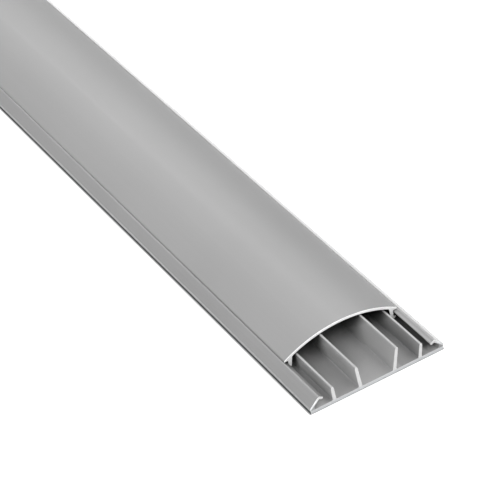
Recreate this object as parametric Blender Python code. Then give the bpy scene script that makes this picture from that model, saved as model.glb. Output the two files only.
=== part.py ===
"""Floor cable raceway: a channelled base strip with the domed cover that clips on to it.

Metres, +Z up. X runs across the strip and Y along it. The origin is in the middle of the
underside. The cover stops short of the base at the -Y end, so that the channels show there,
and both strips end together at the +Y end.
"""
import math

import bpy
from mathutils import Vector

# Driving dimensions
STOCK_LENGTH = 2.000
WIDTH = 0.0750
HEIGHT = 0.0176
COVER_SETBACK = 0.0297
SEAT_GAP = 0.0003

# Base: floor plate, and the hook along each edge that the cover clips over
PLATE = 0.0018
HOOK_WALL = 0.0013
FOOT_INSET = 0.0004
NOSE_HEIGHT = 0.0032
RIDGE_HEIGHT = 0.0080
RIDGE_INSET = 0.0050
RIDGE_ROUNDED_OFF = 0.0003
HOOK_TIP_INSET = 0.0074
HOOK_TIP_TOP = 0.0070
HOOK_TIP_BOTTOM = 0.0056
HOOK_TIP_SLANT = 0.0002
SIDE_WALL = 0.0025
FOOT_RADIUS = 0.0004
NOSE_RADIUS = 0.0006
RIDGE_RADIUS = 0.0014
HOOK_TIP_RADIUS = 0.0006
HOLLOW_RADIUS = 0.0008
HOLLOW_FLOOR_RADIUS = 0.0006

# Dividers: where each one's middle line stands on the plate and ends at its tip
TALL_FOOT = 0.0095
TALL_TIP = 0.0114
TALL_HEIGHT = 0.0146
SHORT_FOOT = 0.0240
SHORT_TIP = 0.0249
SHORT_HEIGHT = 0.0098
DIVIDER_ROOT_THICKNESS = 0.0019
DIVIDER_SHOULDER_THICKNESS = 0.0016
DIVIDER_TIP_THICKNESS = 0.0009
TIP_BEVEL_HEIGHT = 0.0011
ROOT_RADIUS = 0.0006
SHOULDER_RADIUS = 0.0020
TIP_RADIUS = 0.0002

# Cover: domed skin with a lip along each edge, and a barbed leg inside each lip
COVER_SKIN = 0.0015
DOME_RADIUS = 0.0625
LIP_REACH = 0.0317
LIP_RADIUS = 0.0003
LEG_OUTSIDE = 0.0298
LEG_INSIDE_TOP = 0.0275
LEG_INSIDE_LOW = 0.0282
LEG_BEND_HEIGHT = 0.0042
LEG_TOE = 0.0302
LEG_TOE_HEIGHT = 0.0027
BARB_REACH = 0.0315
BARB_HEIGHT = 0.0038
BARB_TOP = 0.0047
LEG_RADIUS = 0.0006
BARB_RADIUS = 0.0004

DOME_STEPS = 22
CORNER_STEP = math.radians(15.0)

BASE_COLOR = (0.200, 0.200, 0.200, 1.0)
COVER_COLOR = (0.180, 0.180, 0.180, 1.0)
BASE_ROUGHNESS = 0.48
COVER_ROUGHNESS = 0.42


def clear_scene():
    for obj in list(bpy.data.objects):
        bpy.data.objects.remove(obj, do_unlink=True)


def round_corner(before, corner, after, radius):
    """Points of the arc that rounds one corner of an outline."""
    to_before = (before - corner).normalized()
    to_after = (after - corner).normalized()
    half_angle = to_before.angle(to_after) / 2.0
    tangent_length = radius / math.tan(half_angle)
    centre = corner + (to_before + to_after).normalized() * (radius / math.sin(half_angle))
    start = corner + to_before * tangent_length - centre
    end = corner + to_after * tangent_length - centre
    turn = math.atan2(start.x * end.y - start.y * end.x, start.dot(end))
    steps = max(2, math.ceil(abs(turn) / CORNER_STEP))
    points = []
    for step in range(steps + 1):
        angle = turn * step / steps
        cos_a, sin_a = math.cos(angle), math.sin(angle)
        points.append(centre + Vector((start.x * cos_a - start.y * sin_a, start.x * sin_a + start.y * cos_a)))
    return points


def rounded_outline(corners):
    """Closed outline through (x, z, radius) corners. A radius of 0 keeps the point sharp."""
    count = len(corners)
    flat = [Vector((x, z)) for x, z, radius in corners]
    outline = []
    for index, (x, z, radius) in enumerate(corners):
        if radius > 0.0:
            outline += round_corner(flat[index - 1], flat[index], flat[(index + 1) % count], radius)
        else:
            outline.append(flat[index])
    return outline


def mirrored(half):
    """Whole section from its +X half, which is listed from the middle's top to its underside."""
    return half + [(-x, z, radius) for x, z, radius in reversed(half) if x > 0.0]


def divider_corners(foot, tip, height):
    """A leaning wall on the plate, bevelled to a narrow tip: up its inner side, down its outer one."""
    root_half = DIVIDER_ROOT_THICKNESS / 2.0
    lean = Vector((tip - foot, height - PLATE)).normalized()
    side = Vector((lean.y, -lean.x))
    top = Vector((tip, height))
    across_tip = side * DIVIDER_TIP_THICKNESS / 2.0
    across_shoulder = side * DIVIDER_SHOULDER_THICKNESS / 2.0
    shoulder = top - lean * TIP_BEVEL_HEIGHT
    return [
        (foot - root_half, PLATE, ROOT_RADIUS),
        (*(shoulder - across_shoulder), SHOULDER_RADIUS),
        (*(top - across_tip), TIP_RADIUS),
        (*(top + across_tip), TIP_RADIUS),
        (*(shoulder + across_shoulder), SHOULDER_RADIUS),
        (foot + root_half, PLATE, ROOT_RADIUS),
    ]


def hook_corners():
    """The edge of the base, from the plate's top round the hollow, tip, ridge and nose."""
    nose = Vector((WIDTH / 2.0, NOSE_HEIGHT))
    ridge = Vector((nose.x - RIDGE_INSET, RIDGE_HEIGHT + RIDGE_ROUNDED_OFF))
    slope = (ridge - nose).normalized()
    inward = Vector((-slope.y, slope.x))
    hollow_x = nose.x - SIDE_WALL
    under_nose = nose + inward * HOOK_WALL
    hollow_top = under_nose + slope * ((hollow_x - under_nose.x) / slope.x)
    tip = Vector((nose.x - HOOK_TIP_INSET, HOOK_TIP_TOP))
    over = (tip - ridge).normalized()
    below = Vector((-over.y, over.x))
    under_ridge = ridge + (inward + below).normalized() * HOOK_WALL / math.cos(inward.angle(below) / 2.0)
    return [
        (hollow_x, PLATE, HOLLOW_FLOOR_RADIUS),
        (hollow_top.x, hollow_top.y, HOLLOW_RADIUS),
        (under_ridge.x, under_ridge.y, HOLLOW_RADIUS),
        (tip.x + HOOK_TIP_SLANT, HOOK_TIP_BOTTOM, HOOK_TIP_RADIUS),
        (tip.x, tip.y, HOOK_TIP_RADIUS),
        (ridge.x, ridge.y, RIDGE_RADIUS),
        (nose.x, nose.y, NOSE_RADIUS),
        (nose.x - FOOT_INSET, 0.0, FOOT_RADIUS),
    ]


def base_section():
    half = divider_corners(TALL_FOOT, TALL_TIP, TALL_HEIGHT)
    half += divider_corners(SHORT_FOOT, SHORT_TIP, SHORT_HEIGHT)
    half += hook_corners()
    return rounded_outline(mirrored(half))


def dome_points(radius, reach):
    """Arc about the dome's centre, from the crown out to x = reach."""
    centre_z = HEIGHT - DOME_RADIUS
    sweep = math.asin(reach / radius)
    points = []
    for step in range(DOME_STEPS + 1):
        angle = sweep * step / DOME_STEPS
        points.append((radius * math.sin(angle), centre_z + radius * math.cos(angle), 0.0))
    return points


def cover_section():
    lip_underside = RIDGE_HEIGHT + SEAT_GAP
    outer = dome_points(DOME_RADIUS, LIP_REACH)
    lip_x, lip_z, sharp = outer.pop()
    inner = dome_points(DOME_RADIUS - COVER_SKIN, LEG_INSIDE_TOP)
    joint_x, joint_z, sharp = inner.pop()
    leg = [
        (lip_x, lip_z, LIP_RADIUS),
        (lip_x, lip_underside, LIP_RADIUS),
        (LEG_OUTSIDE, lip_underside, LIP_RADIUS),
        (LEG_OUTSIDE, BARB_TOP, LIP_RADIUS),
        (BARB_REACH, BARB_HEIGHT, BARB_RADIUS),
        (LEG_TOE, LEG_TOE_HEIGHT, LEG_RADIUS),
        (LEG_INSIDE_LOW, LEG_BEND_HEIGHT, LEG_RADIUS),
        (joint_x, joint_z, LEG_RADIUS),
    ]
    half = outer + leg + list(reversed(inner))
    return rounded_outline(mirrored(half))


def make_material(name, color, roughness):
    material = bpy.data.materials.new(name)
    material.use_nodes = True
    shader = material.node_tree.nodes["Principled BSDF"]
    shader.inputs["Base Color"].default_value = color
    shader.inputs["Roughness"].default_value = roughness
    shader.inputs["Metallic"].default_value = 0.0
    material.diffuse_color = color
    return material


def extrude_section(name, section, length, middle_y, material, parent, collection):
    """Flat outline in XZ, drawn out to the given length along Y about y = middle_y."""
    curve = bpy.data.curves.new(name, "CURVE")
    curve.dimensions = "2D"
    curve.fill_mode = "BOTH"
    curve.extrude = length / 2.0
    spline = curve.splines.new("POLY")
    spline.points.add(len(section) - 1)
    for point, place in zip(spline.points, section):
        point.co = (place.x, place.y, 0.0, 1.0)
    spline.use_cyclic_u = True
    curve.materials.append(material)
    strip = bpy.data.objects.new(name, curve)
    strip.rotation_euler = (math.pi / 2.0, 0.0, 0.0)
    strip.location = (0.0, middle_y, 0.0)
    strip.parent = parent
    collection.objects.link(strip)
    return strip


def build():
    clear_scene()
    collection = bpy.data.collections.new("cable_raceway")
    bpy.context.scene.collection.children.link(collection)
    raceway = bpy.data.objects.new("raceway", None)
    collection.objects.link(raceway)

    base_material = make_material("base_grey_pvc", BASE_COLOR, BASE_ROUGHNESS)
    extrude_section("base", base_section(), STOCK_LENGTH, 0.0, base_material, raceway, collection)

    cover_material = make_material("cover_grey_pvc", COVER_COLOR, COVER_ROUGHNESS)
    cover_length = STOCK_LENGTH - COVER_SETBACK
    cover_middle = COVER_SETBACK / 2.0
    extrude_section("cover", cover_section(), cover_length, cover_middle, cover_material, raceway, collection)


build()
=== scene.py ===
"""Looks for the floor cable raceway: sawn ends, extruded vinyl, floor, light and camera.

Metres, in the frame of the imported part: X across the strip, Y along it, Z up.

A pair of places is a fade, from where it sets in to where it is full. Four numbers are a ramp:
the places where it starts and ends, and its value at each.
"""
import math

import bpy
from mathutils import Matrix, Vector


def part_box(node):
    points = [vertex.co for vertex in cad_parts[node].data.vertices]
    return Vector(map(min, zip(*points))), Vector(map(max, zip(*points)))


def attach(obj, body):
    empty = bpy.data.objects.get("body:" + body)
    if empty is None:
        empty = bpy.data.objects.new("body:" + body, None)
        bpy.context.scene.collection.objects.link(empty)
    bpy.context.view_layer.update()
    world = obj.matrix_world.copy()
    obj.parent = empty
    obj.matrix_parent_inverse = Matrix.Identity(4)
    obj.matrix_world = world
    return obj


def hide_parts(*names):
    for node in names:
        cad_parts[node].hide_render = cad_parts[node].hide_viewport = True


IMAGE_SIDE = 480

# Camera, solved from the photograph. The aim is the middle of the base's lower front edge.
FOCAL_PIXELS = 2098.5
SENSOR_WIDTH = 36.0
CAMERA_AZIMUTH = -27.63
CAMERA_ELEVATION = 37.469
CAMERA_ROLL = 6.706
AIM_PIXEL = (378.15, 381.25)
AIM_DEPTH = 0.97308
CLIP_NEAR = 0.01
CLIP_FAR = 100.0

# Outlines read from the solids
SAME_PLACE = 1e-5
PLACE_DIGITS = 6

# Sawn ends: a fine chamfer, then rings that keep the shading straight near the cut
SAW_CHAMFER = 0.00010
MITRE_LIMIT = 0.5
RING_OFFSETS = (0.0006, 0.004, 0.03)
SHARP_ANGLE = math.radians(32.0)

# The cover pressed down, so that its lips meet the ridges that carry them
LIP_SIDE = 0.0297
LIP_BAND = (0.0079, 0.0087)
LIP_DROP = 0.00028
LIP_FOOT_SIDE = 0.0313
LIP_SPREAD = 0.0004

# Colours, linear
WHITE = (1.0, 1.0, 1.0)
BASE_COLOR = (0.225, 0.225, 0.225)
COVER_COLOR = (0.178, 0.178, 0.178)
# Painted highlight on the dividers' tips
TIP_HIGHLIGHT_COLOR = (0.24, 0.24, 0.24)
# Painted shadow along the foot of the base
FOOT_SHADOW_COLOR = (0.006, 0.012, 0.014)
RIM_SHADE_COLOR = (0.02, 0.02, 0.02)
# Cut faces: paler than the skin, as sawn vinyl is, and set brighter or darker by place as painted
# light
PLATE_SAWN = (0.45, 0.46, 0.47)
DIVIDER_SAWN = (0.51, 0.51, 0.51)
HOOK_SAWN = (0.70, 0.71, 0.72)
COVER_SAWN = (0.95, 0.95, 0.95)
FLOOR_COLOR = (0.93, 0.93, 0.93)

# Extruded vinyl: lines left by the die along Y, a broad mottle and a fine grain
DIE_LINES = {"scale": 900.0, "stretch": (1.0, 0.0012, 1.0), "detail": 3.0}
BROAD_LINES = {"scale": 160.0, "stretch": (1.0, 0.004, 1.0), "detail": 1.0}
MOTTLE = {"scale": 14.0, "detail": 3.0}
GRAIN = {"scale": 2600.0}
DIE_SHARE = 0.5
LINES_SHARE = 0.6
NOISE_RANGE = (0.35, 0.65)
VINYL_TONES = (0.955, 1.045)
VINYL_ROUGHNESS = (0.3, 0.7, 0.44, 0.56)
LINES_BUMP = (0.20, 0.00006)
GRAIN_BUMP = (0.10, 0.00004)

# The ragged paler fringe that the saw left on the skin at the near end
FRINGE_NOISE = {"scale": 1200.0}
FRINGE_RAGGED = 0.0003
FRINGE_RAMP = (0.0002, 0.0004, 0.6, 0.0)

# Sawn faces: the blade's marks run across the strip, over broader patches
SAW_MARKS = {"scale": 1500.0, "stretch": (0.08, 1.0, 1.0), "detail": 3.0, "rough": 0.6}
SAW_PATCHES = {"scale": 260.0}
MARKS_SHARE = 0.6
SAWN_TONES = (0.90, 1.0)
SAWN_ROUGHNESS = (0.3, 0.7, 0.55, 0.75)
SAWN_BUMP = (0.35, 0.00008)

# The base's cut face: where its plate ends and its hooks begin, and the painted shade that varies the
# hooks' tone
PLATE_TOP_BAND = (0.0017, 0.0020)
HOOK_SIDE = (0.0325, 0.0345)
HOOK_LOW_SHADE = (0.003, 0.005, 0.82, 1.0)
HOOK_RIGHT_SHADE = (-0.01, 0.01, 1.0, 0.78)
HOOK_INNER_SHADE = (0.0280, 0.0282, 0.45, 1.0)

# Painted highlights along the dividers' tips, brightest on the right
TALL_TIP_BAND = (0.0141, 0.0144)
TALL_TIP_EDGE = (0.0117, 0.0114)
SHORT_TIP_BAND = (0.0093, 0.0096)
SHORT_TIP_SIDE = (0.0200, 0.0201)
SHORT_TIP_EDGE = (0.0252, 0.0249)
TIP_HIGHLIGHT_LIFT = (-0.012, 0.011, 1.07, 1.22)

# Painted shadow line along the foot of the base
FOOT_SHADOW_BAND = (0.0018, 0.0012)
FOOT_SIDE = (0.0358, 0.0362)

# The base's outer slope, counted outwards along its normal, and the painted shade that sets it apart
# from the inside
SLOPE_NORMAL = (0.714, 0.700)
SLOPE_BAND = (0.0283, 0.0287)
SLOPE_SHADE = 0.80
SLOPE_GLOSS = 0.45

# Painted shade inside: the floor, the right-hand channels and the hollows beside the hooks
FLOOR_BAND = (0.0022, 0.0019)
FLOOR_SHADE = 0.84
RIGHT_SIDE = (0.0130, 0.0140)
RIGHT_SHADE = 0.75
HOLLOW_SIDE = (0.0285, 0.0297)
HOLLOW_SHADE = 0.55

# The length under the cover, whose shade leans with height and bows with distance from the middle
COVERED_LEAN = 1.156
COVERED_BOW = 9.5
COVERED_DEPTH = (0.040, 0.048)
COVERED_SHADE = 0.20
FAR_END_REACH = (-0.030, -0.005)

# Painted light inside: the hollows' floor at the near end, and the right-hand hook's inner face
MOUTH_SIDE = (0.0262, 0.0290)
MOUTH_DEPTH = (0.0058, 0.0030)
MOUTH_SHADE = 1.15
HOOK_ROOF_SIDE = (0.0296, 0.0298)
HOOK_ROOF_HEIGHT = (0.0065, 0.0068)
HOOK_ROOF_SHADE = (0.0302, 0.0318, 1.25, 0.66)
PALEST_INSIDE = HOOK_ROOF_SHADE[2]

# The cover's inside, in painted shade, and the lower edge of its rim, as radii from the dome's centre
DOME_CENTRE = -0.0449
DOME_INSIDE = (0.0614, 0.0610)
DOME_INSIDE_SHADE = 0.25
RIM_EDGE = (0.0613, 0.0611)
RIM_REACH = (0.0275, 0.0270)

# Painted shade line along the foot of the cover's lips, where they meet the base, and the depth over
# which it fades away
LIP_OUTSIDE = (0.0313, 0.0315)
LIP_TOP = (0.0088, 0.0085)
LIP_SHADE_FADE = (0.10, 0.27, 0.30, 0.0)

# Paper floor, a hair below the part, with a contact shade beside the strip
FLOOR_HALF = 14.0
FLOOR_HEIGHT = -0.00005
FLOOR_ROUGHNESS = 0.9
FLOOR_SPECULAR = 0.1
CONTACT_SIDE = (0.0372, 0.0383)
CONTACT_END = (-0.0002, 0.0004)
CONTACT_SHADE = 0.13

# The light tent's radiance over the sine of the angle above the horizon, and the softboxes' target
HORIZON_RAMP = (0.07, 0.16, 1.05, 0.0)
SKY_RAMP = (0.35, 0.75, 0.25, 1.35)
LIGHT_TARGET = (0.0, -0.85, 0.0)


def near_end(node):
    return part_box(node)[0][1]


def far_end(node):
    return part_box(node)[1][1]


def end_outline(node):
    """The (x, z) outline of a strip's section, read from the near end face of its solid."""
    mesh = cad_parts[node].data
    near_y = min(vertex.co.y for vertex in mesh.vertices)
    points = {}

    def place(index):
        co = mesh.vertices[index].co
        key = round(co.x, PLACE_DIGITS), round(co.z, PLACE_DIGITS)
        points.setdefault(key, (co.x, co.z))
        return key

    uses = {}
    for polygon in mesh.polygons:
        corners = list(polygon.vertices)
        if any(abs(mesh.vertices[i].co.y - near_y) > SAME_PLACE for i in corners):
            continue
        places = [place(i) for i in corners]
        for start, end in zip(places, places[1:] + places[:1]):
            uses.setdefault(frozenset((start, end)), []).append((start, end))
    following = dict(pairs[0] for pairs in uses.values() if len(pairs) == 1)
    first = min(following)
    outline = [first]
    while following[outline[-1]] != first:
        outline.append(following[outline[-1]])
    area = sum(a[0] * b[1] - b[0] * a[1] for a, b in zip(outline, outline[1:] + outline[:1]))
    if area < 0.0:
        outline.reverse()
    return [Vector(points[key]) for key in outline]


def inset(outline, distance):
    """The outline moved inwards, each corner along its two edges' mitre."""
    moved = []
    count = len(outline)
    for index, point in enumerate(outline):
        before = (point - outline[index - 1]).normalized()
        after = (outline[(index + 1) % count] - point).normalized()
        normal_before = Vector((-before.y, before.x))
        normal_after = Vector((-after.y, after.x))
        mitre = (normal_before + normal_after).normalized()
        moved.append(point + mitre * (distance / max(MITRE_LIMIT, mitre.dot(normal_before))))
    return moved


def lips_pressed_down(outline):
    """The cover's outline with each lip's underside lowered on to its ridge, and its foot spread."""
    pressed = []
    for point in outline:
        on_lip = abs(point.x) > LIP_SIDE and LIP_BAND[0] < point.y < LIP_BAND[1]
        drop = LIP_DROP if on_lip else 0.0
        spread = LIP_SPREAD if on_lip and abs(point.x) > LIP_FOOT_SIDE else 0.0
        pressed.append(Vector((point.x + math.copysign(spread, point.x), point.y - drop)))
    return pressed


def ring_places(node):
    """Where along Y the strip gets a ring of points, from its near end to its far end."""
    offsets = (0.0, SAW_CHAMFER, *RING_OFFSETS)
    near = [near_end(node) + offset for offset in offsets]
    far = [far_end(node) - offset for offset in offsets]
    return near + far[::-1]


def strip_faces(rings, count):
    """Faces over the rings, and the numbers of the sawn ones: both ends and their chamfers."""
    last = rings * count - 1
    faces = [list(range(count)), list(range(last, last - count, -1))]
    sawn_faces = [0, 1]
    for ring in range(rings - 1):
        start = ring * count
        following = start + count
        for index in range(count):
            other = (index + 1) % count
            if ring in (0, rings - 2):
                sawn_faces.append(len(faces))
            faces.append([start + other, start + index, following + index, following + other])
    return faces, sawn_faces


def make_strip(name, node, outline, surface, sawn):
    """The strip drawn again along its length, with its sawn edges broken by a fine chamfer."""
    small = inset(outline, SAW_CHAMFER)
    places = ring_places(node)
    vertices = []
    for index, y in enumerate(places):
        ring = small if index in (0, len(places) - 1) else outline
        vertices += [(point.x, y, point.y) for point in ring]
    faces, sawn_faces = strip_faces(len(places), len(outline))
    mesh = bpy.data.meshes.new(name)
    mesh.from_pydata(vertices, [], faces)
    mesh.materials.append(surface)
    mesh.materials.append(sawn)
    for index in sawn_faces:
        mesh.polygons[index].material_index = 1
    mesh.shade_smooth()
    mesh.set_sharp_from_angle(angle=SHARP_ANGLE)
    mesh.validate()
    mesh.update()
    strip = bpy.data.objects.new(name, mesh)
    bpy.context.scene.collection.objects.link(strip)
    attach(strip, "root")
    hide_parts(node)
    return strip


class Nodes:
    """Short calls for building one material's node tree."""

    def __init__(self, name):
        self.material = bpy.data.materials.new(name)
        self.material.use_nodes = True
        self.tree = self.material.node_tree
        self.shader = self.tree.nodes["Principled BSDF"]
        self.coordinates = self.add("ShaderNodeTexCoord")
        self.place = self.add("ShaderNodeSeparateXYZ")
        self.link(self.coordinates.outputs["Object"], self.place.inputs["Vector"])

    def add(self, kind, **settings):
        node = self.tree.nodes.new(kind)
        for key, value in settings.items():
            setattr(node, key, value)
        return node

    def link(self, output, socket):
        self.tree.links.new(output, socket)

    def surface(self, name, output):
        """Feeds an output to one of the shader's sockets."""
        self.link(output, self.shader.inputs[name])

    def noise(self, scale, stretch=(1.0, 1.0, 1.0), detail=2.0, rough=0.5):
        """Noise in the object's own metres, its cells stretched along an axis by a small scale."""
        mapping = self.add("ShaderNodeMapping")
        mapping.inputs["Scale"].default_value = [scale * part for part in stretch]
        texture = self.add("ShaderNodeTexNoise")
        texture.inputs["Scale"].default_value = 1.0
        texture.inputs["Detail"].default_value = detail
        texture.inputs["Roughness"].default_value = rough
        self.link(self.coordinates.outputs["Object"], mapping.inputs["Vector"])
        self.link(mapping.outputs["Vector"], texture.inputs["Vector"])
        return texture.outputs["Fac"]

    def math(self, operation, first, second=None):
        node = self.add("ShaderNodeMath", operation=operation)
        for socket, value in zip(node.inputs, (first, second)):
            if value is None:
                continue
            if isinstance(value, (int, float)):
                socket.default_value = value
            else:
                self.link(value, socket)
        return node.outputs["Value"]

    def product(self, first, *others):
        result = first
        for other in others:
            result = self.math("MULTIPLY", result, other)
        return result

    def blend(self, first, second, share):
        """The two values added, the first weighed by a share and the second by the rest."""
        return self.math("ADD", self.product(first, share), self.product(second, 1.0 - share))

    def towards(self, value, goal, share):
        """The value moved by a share of the way to a goal."""
        return self.math("ADD", value, self.product(share, self.math("SUBTRACT", goal, value)))

    def ramp(self, value, low, high, at_low, at_high):
        """Maps low..high to at_low..at_high, held at both ends."""
        node = self.add("ShaderNodeMapRange", clamp=True)
        self.link(value, node.inputs["Value"])
        numbers = {"From Min": low, "From Max": high, "To Min": at_low, "To Max": at_high}
        for key, number in numbers.items():
            node.inputs[key].default_value = number
        return node.outputs["Result"]

    def fade(self, value, band):
        """0 to 1 over a band, held at both ends."""
        return self.ramp(value, *band, 0.0, 1.0)

    def dimmed(self, value, band, shade):
        """1 to a shade over a band, held at both ends."""
        return self.ramp(value, *band, 1.0, shade)

    def across(self):
        return self.place.outputs["X"]

    def along(self):
        return self.place.outputs["Y"]

    def height(self):
        return self.place.outputs["Z"]

    def side(self):
        """Distance from the middle line, across the strip."""
        return self.math("ABSOLUTE", self.across())

    def depth(self):
        """Distance from the base's near end, along the strip."""
        return self.math("SUBTRACT", self.along(), near_end("base"))

    def colours(self, node, first, second):
        """Sets a mix node's two colours, each a tuple or an output, and gives its result."""
        sockets = [socket for socket in node.inputs if socket.type == "RGBA"]
        for socket, value in zip(sockets, (first, second)):
            if isinstance(value, tuple):
                socket.default_value = (*value, 1.0)
            else:
                self.link(value, socket)
        return [socket for socket in node.outputs if socket.type == "RGBA"][0]

    def mix(self, factor, first, second):
        node = self.add("ShaderNodeMix", data_type="RGBA")
        self.link(factor, node.inputs["Factor"])
        return self.colours(node, first, second)

    def shaded(self, colour, factor):
        """The colour times a factor."""
        node = self.add("ShaderNodeMix", data_type="RGBA", blend_type="MULTIPLY")
        node.inputs["Factor"].default_value = 1.0
        return self.colours(node, colour, factor)

    def bump(self, height, strength, distance, normal=None):
        node = self.add("ShaderNodeBump")
        node.inputs["Strength"].default_value = strength
        node.inputs["Distance"].default_value = distance
        self.link(height, node.inputs["Height"])
        if normal is not None:
            self.link(normal, node.inputs["Normal"])
        return node.outputs["Normal"]


def scaled(colour, factor):
    return tuple(part * factor for part in colour)


def outwards(nodes):
    """Distance from the middle along the normal of the base's outer slope."""
    across = nodes.product(nodes.side(), SLOPE_NORMAL[0])
    return nodes.math("ADD", across, nodes.product(nodes.height(), SLOPE_NORMAL[1]))


def outer_slope(nodes):
    """1 on the outer faces of the base's two edges, 0 on the rest of it."""
    slope = nodes.fade(outwards(nodes), SLOPE_BAND)
    return nodes.math("MAXIMUM", slope, nodes.fade(nodes.side(), FOOT_SIDE))


def covered_shade(nodes):
    """How dim the base is under the cover, up to the far end, where light gets in again."""
    bow = nodes.product(nodes.math("POWER", nodes.side(), 2.0), COVERED_BOW)
    reach = nodes.math("ADD", nodes.depth(), nodes.product(nodes.height(), COVERED_LEAN))
    reach = nodes.math("ADD", reach, bow)
    past_far_end = nodes.math("SUBTRACT", nodes.along(), far_end("base"))
    covered = nodes.dimmed(reach, COVERED_DEPTH, COVERED_SHADE)
    return nodes.math("MAXIMUM", covered, nodes.fade(past_far_end, FAR_END_REACH))


def inside_shade(nodes):
    """The painted shade on the base's inside, but for the two places where painted light makes it
    paler.
    """
    side, height = nodes.side(), nodes.height()
    floor = nodes.dimmed(height, FLOOR_BAND, FLOOR_SHADE)
    right = nodes.dimmed(nodes.across(), RIGHT_SIDE, RIGHT_SHADE)
    hollow = nodes.dimmed(side, HOLLOW_SIDE, HOLLOW_SHADE)
    shade = nodes.product(floor, right, hollow, covered_shade(nodes))
    up_in_roof = nodes.fade(height, HOOK_ROOF_HEIGHT)
    below_roof = nodes.math("SUBTRACT", 1.0, up_in_roof)
    mouth = nodes.product(nodes.fade(side, MOUTH_SIDE), nodes.fade(nodes.depth(), MOUTH_DEPTH))
    roof = nodes.product(nodes.fade(nodes.across(), HOOK_ROOF_SIDE), up_in_roof)
    # Painted light on the hollows' floor at the mouth and on the right-hand hook's inner face
    shade = nodes.towards(shade, MOUTH_SHADE, nodes.product(mouth, below_roof))
    return nodes.towards(shade, nodes.ramp(side, *HOOK_ROOF_SHADE), roof)


def foot_shadow_line(nodes):
    """1 along the foot of the base's two edges, where a shadow line is painted, 0 elsewhere."""
    low = nodes.fade(nodes.height(), FOOT_SHADOW_BAND)
    return nodes.product(low, nodes.fade(nodes.side(), FOOT_SIDE))


def divider_tip_highlight(nodes):
    """1 on the dividers' tips, where a highlight is painted, 0 elsewhere."""
    side, height, across = nodes.side(), nodes.height(), nodes.across()
    tall = nodes.product(nodes.fade(height, TALL_TIP_BAND), nodes.fade(across, TALL_TIP_EDGE))
    short = nodes.product(
        nodes.fade(height, SHORT_TIP_BAND),
        nodes.fade(side, SHORT_TIP_SIDE),
        nodes.fade(across, SHORT_TIP_EDGE),
    )
    return nodes.math("MAXIMUM", tall, short)


def base_marks(nodes, toned):
    """Painted shade on the base's outer slopes and inside, painted highlights on the divider tips,
    and a painted shadow line along its foot.
    """
    outer = outer_slope(nodes)
    # Painted shade: the outer slopes at one tone, the inside shaded by place
    shade = nodes.math("MAXIMUM", nodes.product(outer, SLOPE_SHADE), inside_shade(nodes))
    shade = nodes.math("MINIMUM", shade, nodes.ramp(outer, 0.0, 1.0, PALEST_INSIDE, SLOPE_SHADE))
    # Painted highlight on the dividers' tips, brighter on the right
    tip_highlight = nodes.shaded(TIP_HIGHLIGHT_COLOR, nodes.ramp(nodes.across(), *TIP_HIGHLIGHT_LIFT))
    toned = nodes.mix(divider_tip_highlight(nodes), nodes.shaded(toned, shade), tip_highlight)
    # Painted shadow line along the foot of the base
    return nodes.mix(foot_shadow_line(nodes), toned, FOOT_SHADOW_COLOR)


def base_gloss(nodes, roughness):
    """Smoother on the outer slopes, which are handled the most, and matt along the painted shadow
    line at the foot.
    """
    slope_gloss = nodes.ramp(outer_slope(nodes), 0.0, 1.0, 1.0, SLOPE_GLOSS)
    return nodes.math("MAXIMUM", nodes.product(roughness, slope_gloss), foot_shadow_line(nodes))


def dome_radius(nodes):
    height = nodes.math("SUBTRACT", nodes.height(), DOME_CENTRE)
    across_squared = nodes.math("POWER", nodes.side(), 2.0)
    height_squared = nodes.math("POWER", height, 2.0)
    return nodes.math("SQRT", nodes.math("ADD", across_squared, height_squared))


def cover_marks(nodes, toned):
    """Painted shade on the cover's inside and legs, and a painted shade line along the foot of its
    lips.
    """
    inside = nodes.dimmed(dome_radius(nodes), DOME_INSIDE, DOME_INSIDE_SHADE)
    # Painted shade along the seam at the lips' foot, strongest near the near end
    lip = nodes.product(nodes.fade(nodes.side(), LIP_OUTSIDE), nodes.fade(nodes.height(), LIP_TOP))
    line = nodes.product(lip, nodes.ramp(nodes.depth(), *LIP_SHADE_FADE))
    return nodes.shaded(nodes.shaded(toned, inside), nodes.math("SUBTRACT", 1.0, line))


def sawn_fringe(nodes, node):
    """How much of the sawn colour shows on the skin, in a ragged line at the near end."""
    ragged = nodes.product(nodes.noise(**FRINGE_NOISE), FRINGE_RAGGED)
    reach = nodes.math("ADD", nodes.along(), ragged)
    start, end, at_start, at_end = FRINGE_RAMP
    return nodes.ramp(reach, near_end(node) + start, near_end(node) + end, at_start, at_end)


def extruded_vinyl(name, node, colour, fringe_colour, marks, gloss=None):
    """Satin vinyl with die lines along Y, a faint mottle, and a paler fringe at the sawn end."""
    nodes = Nodes(name)
    lines = nodes.blend(nodes.noise(**DIE_LINES), nodes.noise(**BROAD_LINES), DIE_SHARE)
    shade = nodes.blend(lines, nodes.noise(**MOTTLE), LINES_SHARE)
    dark, pale = (scaled(colour, tone) for tone in VINYL_TONES)
    toned = marks(nodes, nodes.mix(nodes.fade(shade, NOISE_RANGE), dark, pale))
    nodes.surface("Base Color", nodes.mix(sawn_fringe(nodes, node), toned, fringe_colour))
    roughness = nodes.ramp(lines, *VINYL_ROUGHNESS)
    if gloss is not None:
        roughness = gloss(nodes, roughness)
    nodes.surface("Roughness", roughness)
    grain = nodes.bump(nodes.noise(**GRAIN), *GRAIN_BUMP)
    nodes.surface("Normal", nodes.bump(lines, *LINES_BUMP, grain))
    return nodes.material


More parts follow.
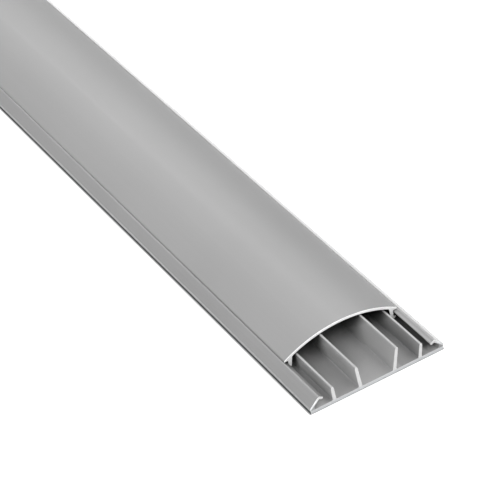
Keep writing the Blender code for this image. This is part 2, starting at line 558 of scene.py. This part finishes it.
def base_sawn_tone(nodes):
    """The base's cut face: paler than the skin as a sawn face is, with painted light greyest along
    the plate and whitest on the hooks, and painted shade low down, on the right and inside.
    """
    height = nodes.height()
    above = nodes.fade(height, PLATE_TOP_BAND)
    outside = nodes.fade(nodes.side(), HOOK_SIDE)
    # Painted shade on the hooks' cut face: darker low down, on the right and on their inner part
    hook_shade = nodes.product(
        nodes.ramp(height, *HOOK_LOW_SHADE),
        nodes.ramp(nodes.across(), *HOOK_RIGHT_SHADE),
        nodes.ramp(outwards(nodes), *HOOK_INNER_SHADE),
    )
    inside = nodes.mix(above, PLATE_SAWN, DIVIDER_SAWN)
    return nodes.mix(nodes.product(above, outside), inside, nodes.shaded(HOOK_SAWN, hook_shade))


def cover_sawn_tone(nodes):
    """The cover's cut face: white, partly as sawn vinyl is and partly as painted light, but for a
    painted shade line along the lower edge of its rim.
    """
    low = nodes.fade(dome_radius(nodes), RIM_EDGE)
    line = nodes.product(low, nodes.fade(nodes.side(), RIM_REACH))
    return nodes.mix(line, COVER_SAWN, RIM_SHADE_COLOR)


def sawn_vinyl(name, tone):
    """Cut face: pale, matt, with the blade's fine marks running across it."""
    nodes = Nodes(name)
    marks = nodes.noise(**SAW_MARKS)
    shade = nodes.blend(marks, nodes.noise(**SAW_PATCHES), MARKS_SHARE)
    worn = nodes.ramp(shade, *NOISE_RANGE, *SAWN_TONES)
    nodes.surface("Base Color", nodes.shaded(tone(nodes), worn))
    nodes.surface("Roughness", nodes.ramp(marks, *SAWN_ROUGHNESS))
    nodes.surface("Normal", nodes.bump(marks, *SAWN_BUMP))
    return nodes.material


def floor_paper():
    """Pale matt paper, shaded beside the strip where it meets it."""
    nodes = Nodes("floor_paper")
    beside = nodes.ramp(nodes.side(), *CONTACT_SIDE, CONTACT_SHADE, 1.0)
    past_end = nodes.math("SUBTRACT", nodes.math("ABSOLUTE", nodes.along()), far_end("base"))
    shade = nodes.math("MAXIMUM", beside, nodes.fade(past_end, CONTACT_END))
    nodes.surface("Base Color", nodes.shaded(FLOOR_COLOR, shade))
    nodes.shader.inputs["Roughness"].default_value = FLOOR_ROUGHNESS
    nodes.shader.inputs["Specular IOR Level"].default_value = FLOOR_SPECULAR
    return nodes.material


def make_floor():
    mesh = bpy.data.meshes.new("floor")
    signs = ((-1.0, -1.0), (1.0, -1.0), (1.0, 1.0), (-1.0, 1.0))
    corners = [(x * FLOOR_HALF, y * FLOOR_HALF, FLOOR_HEIGHT) for x, y in signs]
    mesh.from_pydata(corners, [], [(0, 1, 2, 3)])
    mesh.materials.append(floor_paper())
    floor = bpy.data.objects.new("floor", mesh)
    bpy.context.scene.collection.objects.link(floor)


def make_world():
    """Soft light tent: white at the horizon, dimmest just above it and brightest overhead."""
    world = bpy.data.worlds.new("studio")
    bpy.context.scene.world = world
    world.use_nodes = True
    tree = world.node_tree
    background = tree.nodes["Background"]
    coordinates = tree.nodes.new("ShaderNodeTexCoord")
    split = tree.nodes.new("ShaderNodeSeparateXYZ")
    tree.links.new(coordinates.outputs["Generated"], split.inputs["Vector"])
    brighter = tree.nodes.new("ShaderNodeMath")
    brighter.operation = "MAXIMUM"
    for socket, numbers in zip(brighter.inputs, (HORIZON_RAMP, SKY_RAMP)):
        ramp = tree.nodes.new("ShaderNodeMapRange")
        tree.links.new(split.outputs["Z"], ramp.inputs["Value"])
        for key, number in zip(("From Min", "From Max", "To Min", "To Max"), numbers):
            ramp.inputs[key].default_value = number
        tree.links.new(ramp.outputs["Result"], socket)
    tree.links.new(brighter.outputs["Value"], background.inputs["Strength"])
    background.inputs["Color"].default_value = (*WHITE, 1.0)


def make_softbox(name, place, width, height, radiance):
    """Rectangular light, turned to face the target. Its power follows from its radiance."""
    data = bpy.data.lights.new(name, "AREA")
    data.shape = "RECTANGLE"
    data.size = width
    data.size_y = height
    data.energy = radiance * math.pi * width * height
    light = bpy.data.objects.new(name, data)
    light.visible_camera = False
    light.location = place
    aim = Vector(LIGHT_TARGET) - Vector(place)
    light.rotation_euler = aim.to_track_quat("-Z", "Y").to_euler()
    bpy.context.scene.collection.objects.link(light)


def make_lights():
    make_softbox("left_softbox", (-2.53, -0.85, 2.12), width=2.4, height=2.2, radiance=4.8)
    make_softbox("back_softbox", (0.81, 0.68, 1.35), width=1.4, height=0.8, radiance=5.8)
    make_softbox("high_softbox", (0.87, -1.97, 2.18), width=1.6, height=1.2, radiance=2.8)
    make_softbox("front_softbox", (0.0, -3.10, 1.30), width=1.6, height=1.0, radiance=1.6)


def make_camera():
    """Places the camera so that the aim point falls on its pixel at its depth."""
    azimuth = math.radians(CAMERA_AZIMUTH)
    elevation = math.radians(CAMERA_ELEVATION)
    roll = math.radians(CAMERA_ROLL)
    level = math.cos(elevation)
    back = Vector((math.sin(azimuth) * level, -math.cos(azimuth) * level, math.sin(elevation)))
    level_right = Vector((0.0, 0.0, 1.0)).cross(back).normalized()
    level_up = back.cross(level_right)
    right = level_right * math.cos(roll) - level_up * math.sin(roll)
    up = level_right * math.sin(roll) + level_up * math.cos(roll)
    aim = Vector((0.0, near_end("base"), 0.0))
    middle = IMAGE_SIDE / 2.0
    across = (AIM_PIXEL[0] - middle) / FOCAL_PIXELS * AIM_DEPTH
    down = (AIM_PIXEL[1] - middle) / FOCAL_PIXELS * AIM_DEPTH
    data = bpy.data.cameras.new("camera")
    data.sensor_width = SENSOR_WIDTH
    data.lens = FOCAL_PIXELS / IMAGE_SIDE * SENSOR_WIDTH
    data.clip_start = CLIP_NEAR
    data.clip_end = CLIP_FAR
    camera = bpy.data.objects.new("camera", data)
    turn = Matrix((right, up, back)).transposed().to_4x4()
    place = aim - right * across + up * down + back * AIM_DEPTH
    camera.matrix_world = Matrix.Translation(place) @ turn
    bpy.context.scene.collection.objects.link(camera)
    bpy.context.scene.camera = camera


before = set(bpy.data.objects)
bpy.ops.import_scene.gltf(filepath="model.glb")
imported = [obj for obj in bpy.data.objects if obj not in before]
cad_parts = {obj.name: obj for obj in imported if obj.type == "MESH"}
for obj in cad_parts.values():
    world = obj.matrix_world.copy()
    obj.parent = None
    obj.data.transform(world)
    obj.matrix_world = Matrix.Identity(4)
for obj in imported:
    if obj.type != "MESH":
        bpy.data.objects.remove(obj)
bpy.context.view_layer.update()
bpy.context.scene.view_settings.view_transform = "Standard"

skin = extruded_vinyl("base_strip_vinyl", "base", BASE_COLOR, DIVIDER_SAWN, base_marks, base_gloss)
sawn = sawn_vinyl("base_sawn_vinyl", base_sawn_tone)
strip = make_strip("base_strip", "base", end_outline("base"), skin, sawn)

skin = extruded_vinyl("cover_strip_vinyl", "cover", COVER_COLOR, COVER_SAWN, cover_marks)
sawn = sawn_vinyl("cover_sawn_vinyl", cover_sawn_tone)
strip = make_strip("cover_strip", "cover", lips_pressed_down(end_outline("cover")), skin, sawn)

make_floor()
make_world()
make_lights()
make_camera()
